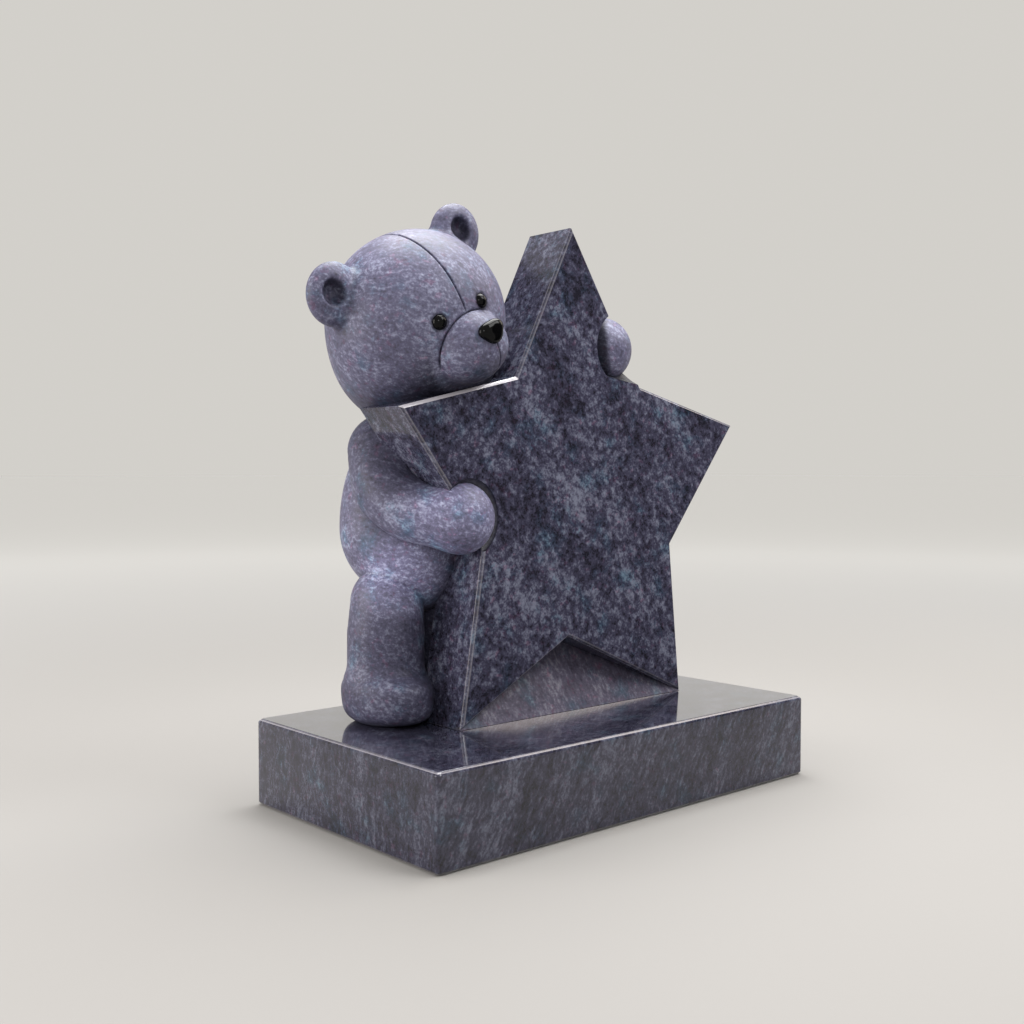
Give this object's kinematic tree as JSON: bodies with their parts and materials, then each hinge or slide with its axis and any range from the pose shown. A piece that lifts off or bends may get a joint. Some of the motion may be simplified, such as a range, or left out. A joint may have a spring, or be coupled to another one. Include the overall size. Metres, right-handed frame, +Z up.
{
  "type": "teddy bear headstone",
  "caption": "Granite headstone: a standing teddy bear carved hugging an upright star slab, in one block, on a rectangular plinth.",
  "frame": {"origin": "middle of the plinth's underside, at the level that the headstone stands on", "axes": "+Z up, +X along the plinth towards the viewer's right, and the star's flat front face looks along -Y"},
  "size_m": [0.6469, 0.35, 0.7151],
  "materials": {
    "polished_granite": "polished blue-grey granite",
    "carved_granite": "blue-grey granite, polished on the star and honed on the bear",
    "black_stone": "jet-black stone, highly polished"
  },
  "bodies": {
    "root": {"plinth": "polished_granite", "bear_and_star": "carved_granite", "eye_right": "black_stone", "eye_left": "black_stone", "nose": "black_stone"}
  },
  "joints": []
}
